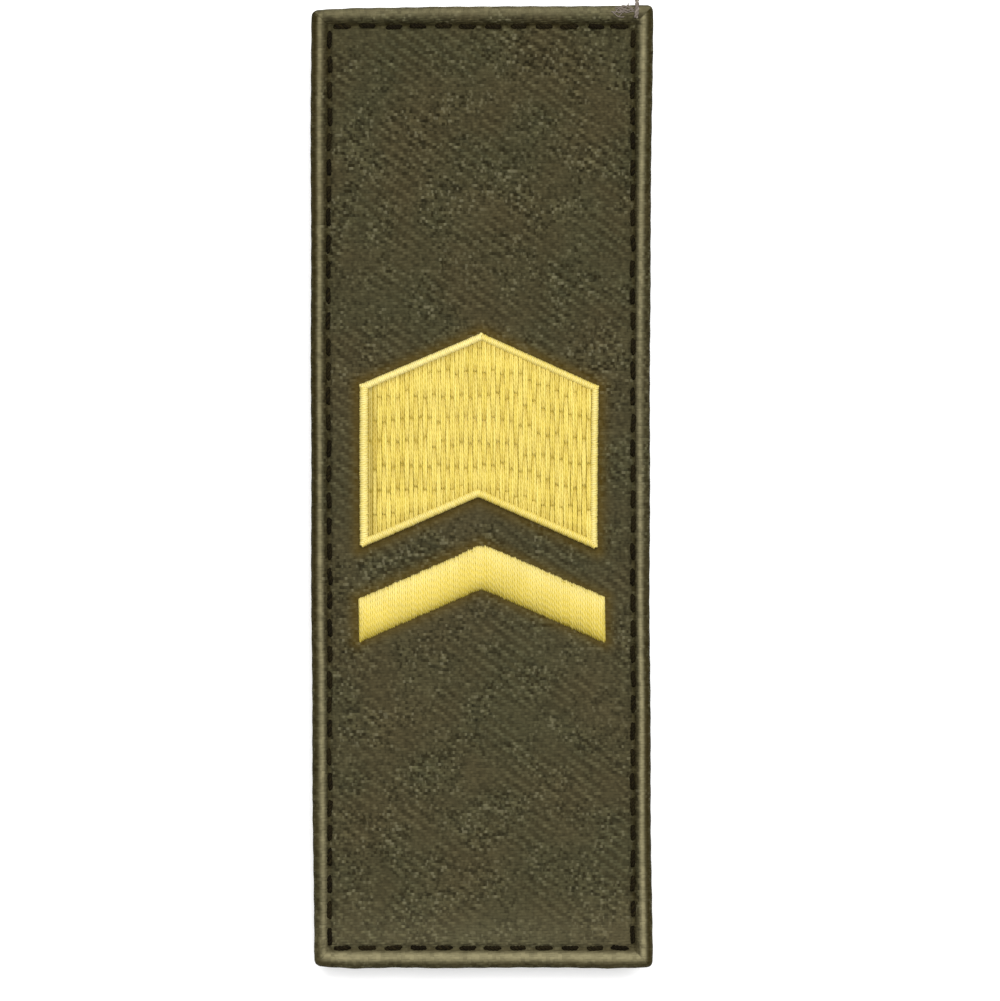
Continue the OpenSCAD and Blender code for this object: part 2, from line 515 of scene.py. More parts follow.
def chevron_outline(half_w, point_y, band):
    """Corners of a chevron that points forward, anticlockwise from its left lower corner."""
    corner_y = point_y - half_w * CHEVRON_SLOPE
    xs = [-half_w, 0, half_w, half_w, 0, -half_w]
    ys = [corner_y - band, point_y - band, corner_y - band, corner_y, point_y, corner_y]
    return np.array([xs, ys]).T


def distance_to(x, y, outline):
    """Distance from points to a closed outline."""
    nearest = np.full(np.shape(x), np.inf)
    for start, end in zip(outline, np.roll(outline, -1, axis=0)):
        leg = end - start
        share = ((x - start[0]) * leg[0] + (y - start[1]) * leg[1]) / (leg @ leg)
        share = np.clip(share, 0, 1)
        away = np.hypot(x - start[0] - share * leg[0], y - start[1] - share * leg[1])
        nearest = np.minimum(nearest, away)
    return nearest


WIDE_BAND = border_high[1] - border_low[1] - border_high[0] * CHEVRON_SLOPE
NARROW_BAND = narrow_high[1] - narrow_low[1] - narrow_high[0] * CHEVRON_SLOPE

# How far the thread's pull has moved each corner of the wide chevron
CORNER_PULLS = [
    (-0.05, -0.3),
    (-0.45, -0.47),
    (-0.73, -0.53),
    (-0.53, -0.25),
    (0.0, -0.2),
    (-0.1, -0.05),
]
wide_outline = chevron_outline(border_high[0], border_high[1], WIDE_BAND) + CORNER_PULLS
narrow_outline = chevron_outline(narrow_high[0], narrow_high[1], NARROW_BAND)


def embroidery_distance(x, y):
    """Distance to the nearest edge of a chevron."""
    return np.minimum(distance_to(x, y, wide_outline), distance_to(x, y, narrow_outline))


def face_height(x, y):
    """Height of the face cloth above its underside, from the crest of the rim inwards."""
    inset = np.minimum(*insets(x, y))
    height = RIM_T - (RIM_T - FIELD_T) * eased(inset, *RIM_FALL)
    aside, ahead = from_seams(x, y)
    height = height - stitch_pull(aside, y, HALF_L - STITCH_INSET)
    height = height - stitch_pull(ahead, x, HALF_W - STITCH_INSET)
    # The field isn't sewn flat, and lies in low waves
    slack = np.sin(x / 7.3 + 0.8 * np.sin(y / 17)) * np.sin(y / 11.9 + 1.3)
    height = height + FIELD_SLACK * slack * eased(inset, 3, 9)
    return height - EMBROIDERY_PULL * dip(embroidery_distance(x, y), 0.9)


# Sides of the face, anticlockwise from the lower end: the way along each, the way out, half of its
# length, and how far out from the slide's middle it lies
FACE_SIDES = [
    (np.array([1, 0]), np.array([0, -1]), HALF_W, HALF_L),
    (np.array([0, 1]), np.array([1, 0]), HALF_L, HALF_W),
    (np.array([-1, 0]), np.array([0, 1]), HALF_W, HALF_L),
    (np.array([0, -1]), np.array([-1, 0]), HALF_L, HALF_W),
]

# How far the slide's outline lies out at nine even places along each side, from start to end
EDGE_OUT = [
    (0.1, 0.52, 0.42, 0.54, 0.43, 0.33, 0.36, 0.54, 0.42),
    (0.27, 0.08, -0.07, -0.14, -0.16, -0.07, -0.06, 0.19, 0.34),
    (0.62, 0.4, 0.3, 0.31, 0.32, 0.34, 0.17, 0.05, -0.3),
    (0.12, 0.12, 0.15, 0.1, 0.11, 0.03, -0.04, -0.22, -0.34),
]


def edge_wander(along, half, side):
    """Small unevenness of the slide's outline, outwards, at a place along a side that reaches half
    both ways from its middle."""
    broad = np.interp(along / half, np.linspace(-1, 1, 9), EDGE_OUT[side])
    return broad + 0.05 * np.sin(along / 5.3 + 1.7 * side)


# The fold at some places along each side: the place, from -1 at the side's start to 1 at its end,
# the inset of its pale line, half of that line's width, how pale that line is painted, for wear and
# a painted highlight, and how much painted shade lies on the cloth outside it
FOLD_WEAR_LIGHT_AND_SHADE = [
    [(0.0, 1.63, 0.65, 0.98, 0.85)],
    [(-0.45, 1.32, 0.36, 1.1, 1.35), (0.2, 1.72, 0.5, 0.74, 0.3), (0.7, 1.4, 0.38, 0.92, 1.2)],
    [(0.0, 0.7, 0.65, 0.44, 0.0)],
    [(-0.7, 1.25, 0.34, 0.74, 1.3), (0.0, 1.22, 0.31, 0.88, 1.5), (0.85, 1.72, 0.55, 0.82, 0.75)],
]


def fold_wear_light_and_shade(place, inset, number):
    """How pale one side's fold is painted at some places along it, for wear and a highlight, and
    how much painted shade lies outside its pale line.
    """
    half = FACE_SIDES[number][2]
    at, *stops = np.array(FOLD_WEAR_LIGHT_AND_SHADE[number]).T
    crest, width, strength, shade = [np.interp(place / half, at, stop) for stop in stops]
    patchy = 0.85 + 0.15 * np.sin(place * 1.9) * np.sin(place * 0.7)
    return strength * patchy * dip(inset - crest, width), shade * dip(inset - 0.55, 0.4)


def face_side(number, inset, radius, count):
    """One side of a ring of the face cloth: its points, the way out at each, how pale the fold is
    painted there for wear and a highlight, and its painted shade. radius is that of the ring's
    corners."""
    run, out, half, reach = FACE_SIDES[number]
    place = closer_at_ends(count)[:-1] * (half - inset)
    straight = half - inset - radius
    turn = np.clip((np.abs(place) - straight) / radius, 0, 1) * math.pi / 4
    bent = np.sign(place) * (straight + radius * np.sin(turn))
    along = np.where(turn > 0, bent, place)
    # Each corner moves out with both of its sides
    before = edge_wander(reach - inset, reach, (number - 1) % 4)
    after = edge_wander(inset - reach, reach, (number + 1) % 4)
    before = before * eased(-place, half - inset - CORNER_RUN, half - inset)
    after = after * eased(place, half - inset - CORNER_RUN, half - inset)
    outer = 1 - eased(inset, 0.5, CORNER_RUN)
    along = along + (after - before) * outer
    wander = edge_wander(place, half, number) * outer
    # Each stitch draws the edge in a little
    wave, _ = stitch_wave(place, half - STITCH_INSET)
    wander = wander - 0.025 * np.cos(TAU * (wave - 0.5)) * (1 - eased(inset, 0.2, 1.8))
    outward = reach - inset - radius + radius * np.cos(turn) + wander
    points = along[:, None] * run + outward[:, None] * out
    return points, np.broadcast_to(out, (count, 2)), *fold_wear_light_and_shade(place, inset, number)


def face_ring(inset, radius, counts):
    """The four sides of a ring of the face cloth one after another, as face_side gives them."""
    sides = [face_side(number, inset, radius, counts[number % 2]) for number in range(4)]
    return [np.concatenate(parts) for parts in zip(*sides)]


def closer_at_ends(count):
    """Steps from -1 to 1 that are half as long at both ends."""
    t = np.linspace(-1, 1, count + 1)
    return 0.5 * t + 0.5 * np.sin(t * math.pi / 2)


def face_section():
    """Inset and height of each ring of the face cloth, from the turned-in edge underneath, round
    the fold and in to the field. A ring with no height takes it from face_height."""
    under = [(FIELD_INSET, 0.46), (4.5, 0.45), (HEM_INSET, 0.1), (4.0, 0.0), (3.3, 0.0)]
    under += [(STITCH_INSET, 0.08), (2.0, 0.0), (1.5, 0.0)]
    turns = np.linspace(-math.pi / 2, math.pi / 2, 12)
    fold = [(RIM_R * (1 - math.cos(a)), RIM_R * (1 + math.sin(a))) for a in turns]
    over = [1.4, 1.65, 1.9, 2.12, 2.32, 2.5, 2.65, 2.8, 2.98, 3.2, 3.5, 3.9, 4.35, FIELD_INSET]
    return under + fold + [(inset, None) for inset in over]


def paler_towards_lower_end(points):
    """How much paler the upper side of the face cloth is painted away from its fold: a little
    towards the lower end, and more just inside it."""
    _, y, z = points.T
    paling = 0.03 * eased(-y, -65, 65) + 0.11 * dip(y + HALF_L - 3.5, 4.0)
    return paling * (z > PANEL_Z + UPPER_SIDE)


def painted_shade_and_bounce(points):
    """How much painted shade lies on the upper side of the face cloth at each point, where
    stitching presses it down and round the embroidery, and how much painted yellow light the
    embroidery reflects onto it."""
    x, y, z = points.T
    away = embroidery_distance(x, y)
    # Painted shade along the rows of stitches, and in a line round the embroidery
    painted_shade = np.maximum(row_shade(np.minimum(*from_seams(x, y))), 0.4 * dip(away, 0.6))
    upper = z > PANEL_Z + UPPER_SIDE
    return painted_shade * upper, dip(away, 1.2) * upper


def face_rings(section, counts, first):
    """All rings of the face cloth between the grids of its field. Gives, with one entry for each
    ring, its points, their places on the cloth laid flat, how pale the fold is painted at them, for
    wear and a highlight, its painted shade there, and their numbers, which start from first."""
    # How far the cloth runs from each ring round to the field on top
    profile = [(i, face_height(0, HALF_L - i) if h is None else h) for i, h in section]
    steps = np.hypot(*np.diff(np.array(profile, float), axis=0).T)
    run_in = np.cumsum(steps[::-1])[::-1]
    rings = []
    for (inset, height), laid_out in zip(section[1:-1], run_in[1:]):
        ring, out, wear_and_light, dark = face_ring(inset, max(CORNER_R - inset, 0.25), counts)
        if height is None:
            level = face_height(ring[:, 0], ring[:, 1])
        else:
            level = np.full(len(ring), height)
        upper = height is None or height > RIM_R
        flat = ring + out * (inset - FIELD_INSET + laid_out)
        numbers = first + np.arange(len(ring))
        rings.append((np.column_stack([ring, level]), flat, wear_and_light * upper, dark * upper, numbers))
        first += len(ring)
    return zip(*rings)


def sew_face_cloth(material):
    """Face cloth: a closed sheet, whose field is an even grid that is there twice, underneath and
    on top, with rings round the fold between them."""
    halves = (HALF_W - FIELD_INSET, HALF_L - FIELD_INSET)
    counts = [round(2 * half / CELL) for half in halves]
    section = face_section()
    levels = [closer_at_ends(count) * half for count, half in zip(counts, halves)]
    grid_x, grid_y = np.meshgrid(*levels, indexing="ij")
    field = np.stack([grid_x.ravel(), grid_y.ravel()], -1)
    bottom = np.column_stack([field, np.full(len(field), section[0][1])])
    top = np.column_stack([field, face_height(field[:, 0], field[:, 1])])
    grid = np.arange(len(field)).reshape(grid_x.shape)
    rings, flat, wear_and_light, dark, loops = face_rings(section, counts, 2 * len(field))
    faces = walls_between([rim_of(grid), *loops, rim_of(grid) + len(field)])
    faces += quads_between(grid)[:, ::-1].tolist() + quads_between(grid + len(field)).tolist()
    points = np.concatenate([bottom, top, *rings]) + [0, 0, PANEL_Z]
    weave = np.column_stack([np.concatenate([field, field, *flat]), np.zeros(len(points))])
    unfolded = np.zeros(2 * len(field))
    painted_shade, painted_yellow_bounce = painted_shade_and_bounce(points)
    painted_shade = np.maximum(painted_shade, np.concatenate([unfolded, *dark]))
    wear_and_light = np.concatenate([unfolded, *wear_and_light]) + paler_towards_lower_end(points)
    stored = {"weave": weave, "wear_and_light": wear_and_light, "painted_shade": painted_shade, "painted_yellow_bounce": painted_yellow_bounce}
    piece = make_piece("face_cloth", points, faces, material, stored)
    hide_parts("front_panel")
    return piece


# Edge stitching


def face_z(x, y):
    """Height of the face cloth's surface in the frame."""
    return PANEL_Z + face_height(x, y)


def stitch_rows(half_x, half_y):
    """Start, run and number of stitches of each of the four rows, anticlockwise."""
    rows = []
    corners = [[-half_x, -half_y], [half_x, -half_y], [half_x, half_y], [-half_x, half_y]]
    for start, end in zip(corners, corners[1:] + corners[:1]):
        run = np.subtract(end, start)
        rows.append((np.array(start), run, round(np.linalg.norm(run) / STITCH_PITCH)))
    return rows


def edge_stitch_paths(height_at, rise, bow, sink):
    """Path of each stitch round the edge, over a surface whose height is height_at(x, y). rise is
    how far the thread's middle stands off it, bow how much more it does half-way, and sink how far
    its two ends go back down into the cloth."""
    t = np.linspace(-1, 1, 25)
    paths = []
    for start, run, stitches in stitch_rows(HALF_W - STITCH_INSET, HALF_L - STITCH_INSET):
        across = np.array([-run[1], run[0]]) / np.linalg.norm(run)
        for i in range(stitches):
            # No two stitches are quite alike
            centre = (i + 0.5) / stitches + rng.normal(0, 0.035) / stitches
            length = STITCH_SHOWS * rng.uniform(0.93, 1.1) / stitches
            lean, shift = rng.normal(0, 0.07), rng.normal(0, 0.05)
            places = start + run * (centre + t[:, None] * length / 2)
            places = places + across * (shift + lean * t[:, None])
            # The two rows that run further out do so to the left and downwards
            places = places - np.column_stack(np.broadcast_arrays(*seam_out(*places.T)))
            level = height_at(places[:, 0], places[:, 1])
            level = level + rise + bow * (1 - t**2) - sink * eased(np.abs(t), 0.76, 1.0)
            paths.append(np.column_stack([places, level]))
    return np.array(paths)


def lay_twisted(strands, paths, ply, reach, turns):
    """Adds thread of two plies, each ply wide, that wind about each other along the paths, reach
    away from them and so many turns on each."""
    side, up = ways_round(paths)
    steps = paths.shape[1]
    start = rng.uniform(0, TAU, (len(paths), 1))
    for half_turn in (0, math.pi):
        angle = (start + half_turn + np.linspace(0, turns * TAU, steps))[:, :, None]
        winding = side * np.cos(angle) + up * 0.6 * np.sin(angle)
        strands.lay(paths + reach * winding, ply, ply * 0.9)


def sew_edge_stitching(material):
    """Every stitch of the four rows round the edge, in dark thread of two plies."""
    rows = Strands()
    paths = edge_stitch_paths(face_z, rise=0.24, bow=0.08, sink=0.5)
    lay_twisted(rows, paths, ply=0.46, reach=0.17, turns=2.2)
    return rows.piece("edge_stitching", material, "dark_edge_thread")


# Loose yarn at the upper right corner: where it comes out of the cloth, from the slide's middle and
# inwards from its end, and how far it runs
YARN_X = 22.75
YARN_INSET = 1.5
YARN_RUN = 3.2

# The tangle beside it: the place of its middle, measured the same way, and its number of fibres
TANGLE_X = 20.9
TANGLE_INSET = 0.3
TANGLE_FIBRES = 16


def pull_loose_yarn(material):
    """A loose yarn of the cloth that stands out past the upper right corner, and a small tangle."""
    ends = Strands()
    t = np.linspace(0, 1, 25)
    x = YARN_X + 0.25 * t + 0.08 * np.sin(4 * t)
    y = HALF_L - YARN_INSET + YARN_RUN * t
    z = PANEL_Z + RIM_T - 0.12 + 0.2 * np.sin(math.pi * t)
    lay_twisted(ends, np.column_stack([x, y, z])[None], ply=0.4, reach=0.16, turns=2.5)
    t = np.linspace(0, 1, 12)
    for k in range(TANGLE_FIBRES):
        length, curl = rng.uniform(0.9, 2.4), rng.uniform(0.15, 0.5)
        turn = rng.uniform(-0.5, 0.9)
        run = length * (t - 0.5)
        aside = curl * np.sin(math.pi * t + k)
        x = TANGLE_X + rng.normal(0, 0.5) + run * math.cos(turn) - aside * math.sin(turn)
        y = HALF_L - TANGLE_INSET + rng.normal(0, 0.25)
        y = y + run * math.sin(turn) + aside * math.cos(turn)
        z = PANEL_Z + RIM_T + 0.03 + 0.1 * np.sin(math.pi * t)
        ends.lay(np.column_stack([x, y, z])[None], width=0.15, thickness=0.13)
    return ends.piece("loose_yarn", material, "olive_face_cloth")


# Embroidery

# Columns of the filling: how far apart they stand, the place of the one in the groove beside the
# left border, how deep that one and the next lie and so how much painted shade they take, the
# length of their stitches, where the stitches of the next column end, and how far the bands of
# stitches sink over the right arm
FILL_PITCH = 0.6694
FILL_FIRST_X = -16.32
FILL_DEPTHS = (2.2, 0.85)
FILL_STITCH = 7.03
FILL_END_Y = 2.9
FILL_SINK = 3.05

# Height of the filling's sunken threads above the cloth, and how much higher bright lengths stand
FILL_BED = 0.46
FILL_STAND = 0.2

# Border of the wide chevron: its width, how far apart its threads lie, the shortest one beside a
# corner, the shortest mitre of a corner that is sewn blunt, and how far short of such a corner the
# threads stop
BORDER_W = 1.2
SATIN_PITCH = 0.27
SHORTEST = 0.3
SHARP_MITRE = 1.5
BLUNT = 0.55

# Legs of the wide chevron's border, anticlockwise from its left lower corner: how far the middle is
# drawn in, the sheen tone of the thread, which sets its painted sheen, and the leg's width
BORDER_LEGS = [
    (0.0, 0.65, 1.3),
    (0.0, 0.4, 1.3),
    (0.06, 0.8, 1.2),
    (0.0, 0.6, 1.2),
    (0.0, 1.15, 1.2),
    (-0.03, 0.85, 1.45),
]


def shrink(outline, inwards):
    """An anticlockwise outline moved inwards by a distance."""
    legs = np.roll(outline, -1, axis=0) - outline
    legs /= np.linalg.norm(legs, axis=1, keepdims=True)
    normals = np.stack([-legs[:, 1], legs[:, 0]], -1)
    before = np.roll(normals, 1, axis=0)
    mitre = (normals + before) / (1 + (normals * before).sum(1, keepdims=True))
    return outline + mitre * inwards


def span_at(outline, x):
    """Lower and upper edge of a chevron's outline along the line at x."""
    low = np.interp(x, outline[:3, 0], outline[:3, 1])
    high = np.interp(x, outline[:2:-1, 0], outline[:2:-1, 1])
    return low, high


def padding_slab(outline, low, high):
    """Points of a flat solid over an outline of six corners, and its faces."""
    points = [[*corner, z] for z in (low, high) for corner in outline]
    count = len(outline)
    walls = [[i, (i + 1) % count, count + (i + 1) % count, count + i] for i in range(count)]
    left, right = [5, 0, 1, 4], [4, 1, 2, 3]
    lids = [[count + i for i in part] for part in (left, right)]
    lids += [part[::-1] for part in (left, right)]
    return np.array(points), walls + lids


def column_ends(number, x, low, high):
    """Where the stitches of a column end, from its lower edge to its upper one: half a stitch on
    from those of its neighbours."""
    first = math.floor(low / FILL_STITCH) - 1
    holes = (np.arange(first, first + 9) + 0.5 * ((number + 1) % 2)) * FILL_STITCH + FILL_END_Y
    holes = holes - FILL_SINK * eased(x, 1.5, 14.5) + rng.normal(0, 0.32, len(holes))
    return [low, *holes[(holes > low + 1.0) & (holes < high - 1.0)], high]


def stitch_filling(material):
    """Upright columns of long stitches, each a pair of threads. Bright lengths stand beside sunken
    ones, in level bands; the thread is painted lighter where it stands and in shade where it sinks."""
    filling = Strands()
    inner = shrink(wide_outline, BORDER_W * 0.7)
    columns = np.arange(FILL_FIRST_X, inner[2, 0] - 0.1, FILL_PITCH)
    t = np.linspace(0, 1, 11)
    paths, lifts, sheen_tones = [], [], []
    for number, x in enumerate(columns):
        low, high = span_at(inner, x)
        ends = column_ends(number, x, low, high)
        depth = FILL_DEPTHS[number] if number < len(FILL_DEPTHS) else 0.0
        for start, end in zip(ends, ends[1:]):
            length = end - start
            full = min(1.0, length / (0.7 * FILL_STITCH)) * rng.uniform(0.8, 1.08)
            rise = full * eased(np.sin(math.pi * t), 0.4, 0.98)
            # Columns in the groove lie low and are painted in shade
            rise = rise * (1 - min(1.0, depth)) - 0.4 * depth
            # Over the left arm the last stitch goes down early and is painted in the border's
            # shadow
            if end == high and x < 0:
                rise = rise - 0.9 * eased(t * length, length - 1.1, length - 0.5)
            for ply in (-1, 1):
                stands = np.maximum(rise, 0.0)
                xs = x + ply * (0.13 + 0.05 * stands) + rng.normal(0, 0.03) * np.sin(math.pi * t)
                ys = start - 0.25 + (length + 0.5) * t
                zs = FIELD_Z + FILL_BED + FILL_STAND * stands + rng.normal(0, 0.015)
                paths.append(np.column_stack([xs, ys, zs]))
                lifts.append(rise)
                sheen_tones.append(rng.random())
    lifts = np.array(lifts)
    wide = 0.36 + 0.1 * np.maximum(lifts, 0.0)
    filling.lay(np.array(paths), wide, thickness=0.3, lift=lifts, sheen_tone=np.array(sheen_tones))
    # The padding shows between the threads in their colour in shade, as painted shade
    slab = padding_slab(shrink(wide_outline, BORDER_W * 0.6), FIELD_Z - 0.1, FIELD_Z + 0.42)
    filling.lay_solid(*slab, lift=0.0, sheen_tone=0.0)
    piece = filling.piece("wide_chevron_filling", material, "yellow_fill_thread")
    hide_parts("wide_chevron")
    return piece


def dive(t):
    """How far a satin thread goes down into the cloth, at its two ends only."""
    return 0.4 * np.abs(2 * t - 1) ** 14


def satin_leg(start, end, inner_start, inner_end, height, bow, width):
    """Threads laid side by side across one leg of a satin border, from start to end of its outer
    edge and between the same corners of its inner one. bow is how far the leg's middle is drawn
    in."""
    length = np.linalg.norm(end - start)
    count = max(2, round(length / SATIN_PITCH))
    run = (end - start) / length
    across = np.array([-run[1], run[0]])
    mitre = [(inner_start - start) @ run, (inner_end - end) @ run]
    places = (np.arange(count) + 0.5) / count * length
    short = [BLUNT * (mitre[0] > SHARP_MITRE), BLUNT * (-mitre[1] > SHARP_MITRE)]
    t = np.linspace(0, 1, 9)
    paths = []
    for place in places[(places > short[0]) & (places < length - short[1])]:
        # Past the mitre a thread is cut short, so that the legs meet on the diagonal
        room = width
        if mitre[0] > 0:
            room = min(room, SHORTEST + place / mitre[0] * width)
        if mitre[1] < 0:
            room = min(room, SHORTEST + (length - place) / -mitre[1] * width)
        slant = SATIN_PITCH * 0.5 * (t - 0.5)
        uneven = [0.03, -0.04] + rng.normal(0, 0.02, 2)
        reach = uneven[0] + (room - uneven[0] + uneven[1]) * t
        level = np.sqrt(np.clip(1 - (2 * t - 1) ** 2, 0, 1)) * height * min(1.0, room / 0.8)
        base = start + run * place + across * bow * math.sin(math.pi * place / length)
        xy = base + run * slant[:, None] + across * reach[:, None]
        level = FIELD_Z - 0.05 + level - dive(t) + rng.normal(0, 0.006)
        paths.append(np.column_stack([xy, level]))
    return paths


def satin_fan(corner, before, after, height):
    """Threads that spread from a corner where the outline turns inwards."""
    t = np.linspace(0, 1, 9)
    turns = np.linspace(math.atan2(*before[::-1]), math.atan2(*after[::-1]), 6)[1:-1]
    level = FIELD_Z - 0.07 + height * np.sqrt(1 - (2 * t - 1) ** 2) - dive(t)
    paths = []
    for turn in turns:
        way = np.array([math.cos(turn), math.sin(turn)])
        paths.append(np.column_stack([corner + way * BORDER_W * 1.05 * t[:, None], level]))
    return paths


def stitch_border(material):
    """Satin-stitched border over a padding cord."""
    border = Strands()
    inner = shrink(wide_outline, BORDER_W)
    height = border_high[2] - FIELD_Z - 0.1
    middle = shrink(wide_outline, BORDER_W / 2)
    paths, sheen_tones, cords = [], [], []
    along = np.linspace(-0.005, 1.005, 9)
    for i, (bow, sheen_tone, width) in enumerate(BORDER_LEGS):
        j = (i + 1) % len(BORDER_LEGS)
        leg = satin_leg(wide_outline[i], wide_outline[j], inner[i], inner[j], height, bow, width)
        paths += leg
        sheen_tones.append(sheen_tone + rng.uniform(-0.15, 0.15, len(leg)))
        run = middle[j] - middle[i]
        across = np.array([-run[1], run[0]]) / np.linalg.norm(run)
        places = middle[i] + run * along[:, None]
        places = places + across * bow * np.sin(math.pi * np.clip(along, 0, 1))[:, None]
        cords.append(np.column_stack([places, np.full(len(along), FIELD_Z + 0.2)]))
    notch = wide_outline[:3]
    ways = [np.array([-leg[1], leg[0]]) for leg in np.diff(notch, axis=0)]
    fan = satin_fan(notch[1], *ways, height)
    paths = np.array(paths + fan)
    sheen_tones.append(np.full(len(fan), 0.5))
    t = np.linspace(0, 1, paths.shape[1])
    # Painted light along the middle of each thread, and painted shade towards its ends
    lift = np.broadcast_to(0.35 + 0.5 * np.sin(math.pi * t), paths.shape[:2])
    sheen_tones = np.concatenate(sheen_tones)
    border.lay(paths, width=0.36, thickness=0.24, lift=lift, sheen_tone=sheen_tones, tip=0.7)
    # The padding cord is painted in the threads' colour in shade
    cords = np.array(cords)
    in_shade, plain = np.zeros(cords.shape[:2]), np.zeros(len(cords))
    border.lay(cords, width=BORDER_W * 0.72, thickness=0.95, lift=in_shade, sheen_tone=plain)
    piece = border.piece("wide_chevron_satin", material, "yellow_satin_thread")
    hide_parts("wide_chevron_border")
    return piece


def crown(share, height):
    """Height of the narrow chevron's rounded crown across its band, share going from 0 to 1."""
    half = NARROW_BAND * math.cos(math.atan(CHEVRON_SLOPE)) / 2
    radius = (half**2 + height**2) / (2 * height)
    return np.sqrt(radius**2 - ((2 * share - 1) * half) ** 2) - (radius - height)


def narrow_span(x):
    """Lower and upper edge of the narrow chevron along the line at x. Its point is rounded, and its
    left arm a little thinner than the right one."""
    high = narrow_high[1] + 0.15 - (np.hypot(x, 0.9) - 0.55) * CHEVRON_SLOPE
    low = narrow_high[1] - 0.43 - NARROW_BAND - (np.hypot(x, 0.3) - 0.1) * CHEVRON_SLOPE * 1.01
    return low, high - 0.05 - 0.4 * eased(-x, -1, 5)


def rounded_run(start, end, radius, height):
    """Evenly spaced places over an arm that curves down to the cloth at both ends: where each lies
    between start and end, and the share of the height that it has."""
    turn = np.linspace(0, math.pi / 2, 24)
    in_from_end = radius * (1 - np.cos(turn))
    places = np.concatenate([start + in_from_end, end - in_from_end[::-1]])
    shares = np.concatenate([np.sin(turn), np.sin(turn[::-1])])
    run = np.concatenate([[0.0], np.cumsum(np.hypot(np.diff(places), np.diff(shares) * height))])
    at = np.linspace(0, run[-1], round(run[-1] / SATIN_PITCH))
    return np.interp(at, run, places), np.interp(at, run, shares)


def stitch_narrow(material):
    """Narrow chevron: upright satin threads, side by side over a padded crown."""
    satin = Strands()
    left, right = -narrow_high[0] + 0.3, narrow_high[0] - 0.12
    height = narrow_high[2] - FIELD_Z - 0.14
    places, shares = rounded_run(left, right, radius=0.8, height=height)
    t = np.linspace(0, 1, 17)
    paths = []
    for x, share in zip(places, shares):
        low, high = narrow_span(x)
        low, high = low + rng.normal(0, 0.05), high + rng.normal(0, 0.05)
        xs = x + rng.normal(0, 0.015) + SATIN_PITCH * 0.4 * (t - 0.5)
        ys = high + (low - high) * t
        zs = FIELD_Z - 0.05 + crown(t, height) * share - dive(t) + rng.normal(0, 0.008)
        paths.append(np.column_stack([xs, ys, zs]))
    count = len(paths)
    # Painted highlight and sheen over the upper edge, painted shade towards the lower one, and the
    # right arm painted a little darker
    dimmer = 0.2 * eased(places, -1.0, 3.0)
    lift = 0.96 - dimmer[:, None] - 0.8 * eased(t, 0.66, 1.04)
    sheen_tone = 0.95 - 0.75 * eased(t, -0.1, 0.55) + rng.uniform(-0.12, 0.12, (count, 1))
    thick = np.broadcast_to(0.36 - 0.12 * shares[:, None], (count, len(t)))
    satin.lay(np.array(paths), width=0.38, thickness=thick, lift=lift, sheen_tone=sheen_tone, tip=0.7)
    # Padding, in rows along the chevron under the threads, painted in the threads' colour in shade
    rows = []
    x = np.linspace(left + 0.7, right - 0.7, 41)
    low, high = narrow_span(x)
    for share in np.linspace(0.13, 0.87, 9):
        level = FIELD_Z - 0.2 + crown(share, height) * 0.5
        rows.append(np.column_stack([x, high + (low - high) * share, np.full(len(x), level)]))
    rows = np.array(rows)
    in_shade, plain = np.zeros(rows.shape[:2]), np.zeros(len(rows))
    satin.lay(rows, width=0.9, thickness=0.84, lift=in_shade, sheen_tone=plain)
    piece = satin.piece("narrow_chevron_satin", material, "yellow_satin_thread")
    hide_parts("narrow_chevron")
    return piece


# Sleeve back

# Width of the margins sewn under the face, and how steeply the back drops away from them
MARGIN_W = 3.2
DROP = math.radians(74)

# Thickness of the back's cloth, of the cloth doubled, and of the solid that it stands for
CLOTH_T = 0.6
DOUBLE_T = 0.95
BACK_T = 1.0

# Width of the hem at each open end, and how far from the end it is sewn
HEM_W = 6.0
HEM_STITCH = 4.6

# Room left along the back's edges for the fold between its two faces, and how far the fold stands
# out there
FOLD_ROOM = 0.3
FOLD_OUT = 0.28


def sleeve_section():
    """Points of the back cloth's outer face across the slide, from left to right, and the way to
    its inner face at each."""
    rise = sleeve_high[2] - BACK_T
    r = rise / (2 * (1 - math.cos(DROP)))
    top_x = sleeve_high[0] - MARGIN_W
    foot_x = top_x - 2 * r * math.sin(DROP)
    floor_x = np.linspace(0, foot_x, 22, endpoint=False)
    points = [[x, 0.0, 0.0, 1.0] for x in floor_x]
    outer, inner = r + BACK_T / 2, r - BACK_T / 2
    for a in np.linspace(0, DROP, 9):
        way = [-math.sin(a), math.cos(a)]
        points.append([foot_x - outer * way[0], outer - outer * way[1], *way])
    for a in np.linspace(DROP, 0, 9)[1:]:
        way = [-math.sin(a), math.cos(a)]
        points.append([top_x + inner * way[0], rise - inner + inner * way[1], *way])
    margin_x = np.linspace(top_x, sleeve_high[0] - FOLD_ROOM, 6)[1:]
    points += [[x, rise, 0.0, 1.0] for x in margin_x]
    right = np.array(points)
    left = right[:0:-1] * [-1, 1, -1, 1]
    return np.concatenate([left, right])


def section_run(section):
    """Distance round the section from its first point to each."""
    steps = np.hypot(*np.diff(section[:, :2], axis=0).T)
    return np.concatenate([[0.0], np.cumsum(steps)])


def sleeve_levels():
    """Places of the back cloth's rows of points along the slide, closer at both hems."""
    end = sleeve_high[1] - FOLD_ROOM
    hem = np.arange(0, HEM_W + 1, 0.35)
    middle = np.arange(-end + HEM_W + 1, end - HEM_W - 1, 1.2)
    return np.concatenate([-end + hem, middle, end - hem[::-1]])


